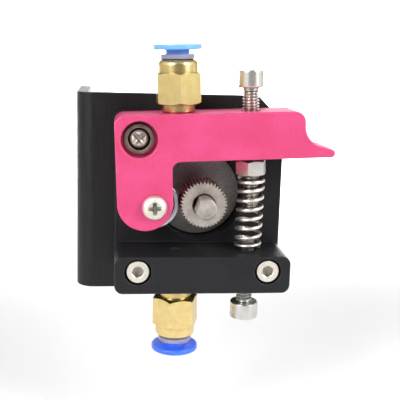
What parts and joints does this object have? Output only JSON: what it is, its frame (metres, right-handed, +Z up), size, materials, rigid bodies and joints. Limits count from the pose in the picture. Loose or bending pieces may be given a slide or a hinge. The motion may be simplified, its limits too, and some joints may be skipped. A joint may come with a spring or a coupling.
{
  "type": "extruder gear assembly",
  "caption": "Filament drive with a toothed gear on a square stepper motor, a spring-loaded lever with an idler bearing, push-fit tube fittings and an L mounting bracket.",
  "frame": {"origin": "middle of the outer face of the bracket's mounting flange", "axes": "+Z up along the filament path, -X out of the flange's outer face, -Y towards the front, where the drive gear and the lever are"},
  "size_m": [0.0613, 0.0615, 0.0747],
  "materials": {
    "bearing_steel": "ground, bright",
    "black_rubber": "matt",
    "block_black": "black anodised, fine satin",
    "bracket_black": "black, satin",
    "brass": "bright turned",
    "bush_bronze": "grey-brown sintered, matt",
    "cast_aluminium": "cast, matt speckled",
    "collet_blue_lower": "moulded, satin",
    "collet_blue_upper": "moulded, satin",
    "connector_white": "moulded, satin",
    "copper": "enamelled copper wire",
    "dark_steel": "black oxide",
    "gear_steel": "turned, bright",
    "lamination": "stacked sheet",
    "lever_pink": "pink anodised, satin",
    "nickel": "nickel plated, satin",
    "ring_grey": "moulded",
    "spring_steel": "plated wire, bright"
  },
  "bodies": {
    "frame": {"base_block": "block_black", "base_screw_left": "nickel", "base_screw_right": "nickel", "guide_screw": "nickel", "lower_fitting_body": "brass", "lower_fitting_ring": "ring_grey", "lower_grip_ring": "spring_steel", "lower_o_ring": "black_rubber", "motor_bracket": "bracket_black", "motor_connector": "connector_white", "motor_front_cap": "cast_aluminium", "motor_front_outer_race": "bearing_steel", "motor_rear_cap": "cast_aluminium", "motor_rear_outer_race": "bearing_steel", "motor_screw_1": "dark_steel", "motor_screw_2": "dark_steel", "motor_screw_3": "dark_steel", "motor_screw_4": "dark_steel", "pivot_bush": "bush_bronze", "pivot_screw": "nickel", "pivot_washer": "nickel", "plate_screw": "nickel", "stator_coil_1": "copper", "stator_coil_2": "copper", "stator_coil_3": "copper", "stator_coil_4": "copper", "stator_coil_5": "copper", "stator_coil_6": "copper", "stator_coil_7": "copper", "stator_coil_8": "copper", "stator_core": "lamination", "tension_spring": "spring_steel", "wave_washer": "spring_steel"},
    "lever": {"lever_arm": "lever_pink", "idler_screw": "nickel", "idler_sleeve": "nickel", "idler_inner_race": "bearing_steel", "upper_fitting_body": "brass", "upper_fitting_ring": "ring_grey", "upper_grip_ring": "spring_steel", "upper_o_ring": "black_rubber"},
    "drive": {"drive_gear": "gear_steel", "gear_grub_screw": "dark_steel", "motor_shaft": "gear_steel", "rotor_front": "lamination", "rotor_magnet": "dark_steel", "rotor_rear": "lamination", "motor_front_inner_race": "bearing_steel", "motor_rear_inner_race": "bearing_steel"},
    "idler": {"idler_outer_race": "bearing_steel", "idler_front_shield": "bearing_steel", "idler_rear_shield": "bearing_steel", "idler_ball_cage": "bearing_steel"},
    "tension_nut": {"tension_nut": "nickel"},
    "tension_screw": {"tension_screw": "nickel"},
    "upper_collet": {"upper_collet": "collet_blue_upper"},
    "lower_collet": {"lower_collet": "collet_blue_lower"}
  },
  "joints": [
    {"name": "lever_pivot", "type": "hinge", "parent": "frame", "child": "lever", "pos_m": [0.0151, -0.027, 0.0155], "axis": [0, 1, 0], "range_deg": [0, 10], "stiffness_Nm_per_rad": 1, "springref_deg": -20.05, "deforming": ["tension_spring"]},
    {"name": "drive_spin", "type": "hinge", "parent": "frame", "child": "drive", "pos_m": [0.0306, -0.027, 0], "axis": [0, 1, 0], "continuous": true},
    {"name": "idler_spin", "type": "hinge", "parent": "lever", "child": "idler", "pos_m": [0.01879, -0.027, -0.00015], "axis": [0, 1, 0], "continuous": true},
    {"name": "nut_travel", "type": "slide", "parent": "lever", "child": "tension_nut", "axis": [0.0436, 0, -0.999], "range_m": [0, 0.0021], "deforming": ["tension_spring"]},
    {"name": "tension_screw_turn", "type": "hinge", "parent": "tension_nut", "child": "tension_screw", "pos_m": [0.04187, -0.027, 0.01667], "axis": [0.0436, 0, -0.999], "range_deg": [0, 1080.01]},
    {"name": "upper_collet_press", "type": "slide", "parent": "lever", "child": "upper_collet", "axis": [0.0436, 0, -0.999], "range_m": [0, 0.0008], "stiffness_N_per_m": 300, "springref_m": -0.002},
    {"name": "lower_collet_press", "type": "slide", "parent": "frame", "child": "lower_collet", "axis": [0, 0, 1], "range_m": [0, 0.0008], "stiffness_N_per_m": 300, "springref_m": -0.002}
  ],
  "couplings": [
    {"joint": "tension_screw_turn", "follows": "nut_travel", "rad_per_m": 8976}
  ]
}
